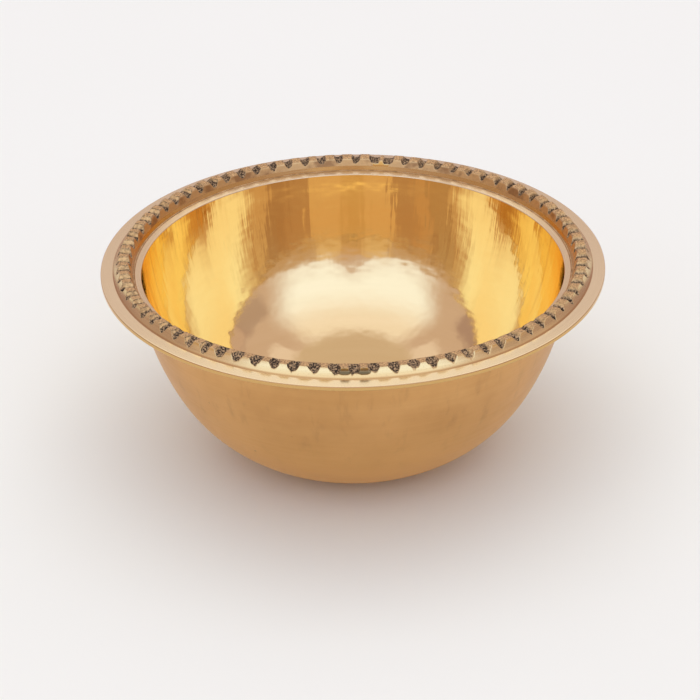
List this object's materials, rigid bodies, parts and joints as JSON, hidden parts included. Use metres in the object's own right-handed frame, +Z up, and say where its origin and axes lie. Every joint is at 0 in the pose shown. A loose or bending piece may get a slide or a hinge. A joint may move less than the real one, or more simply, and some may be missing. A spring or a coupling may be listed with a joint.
{
  "type": "bowl",
  "caption": "Round brass bowl with a flat flanged rim, a ring of small beads on the flange and a flat foot, for floating flowers or serving.",
  "frame": {"origin": "centre of the flat foot, where the bowl stands", "axes": "+Z up the bowl's axis, -Y towards the front seam of the bead strip, +X to the right seen from the front"},
  "size_m": [0.15, 0.15, 0.0634],
  "materials": {
    "bowl_brass": "mirror-polished inside, satin lathe-turned outside",
    "flange_brass": "fine lathe-turned, polished",
    "bead_brass": "turned flanks, rough cast crests, dark patina in the notches",
    "braze": "dull brazing brass with dark flux stain"
  },
  "bodies": {
    "root": {"bowl_shell": "bowl_brass", "rim_flange": "flange_brass", "bead_strip_left": "bead_brass", "bead_strip_right": "bead_brass", "neck_braze": "braze", "seam_braze_front": "braze", "seam_braze_back": "braze"}
  },
  "joints": []
}
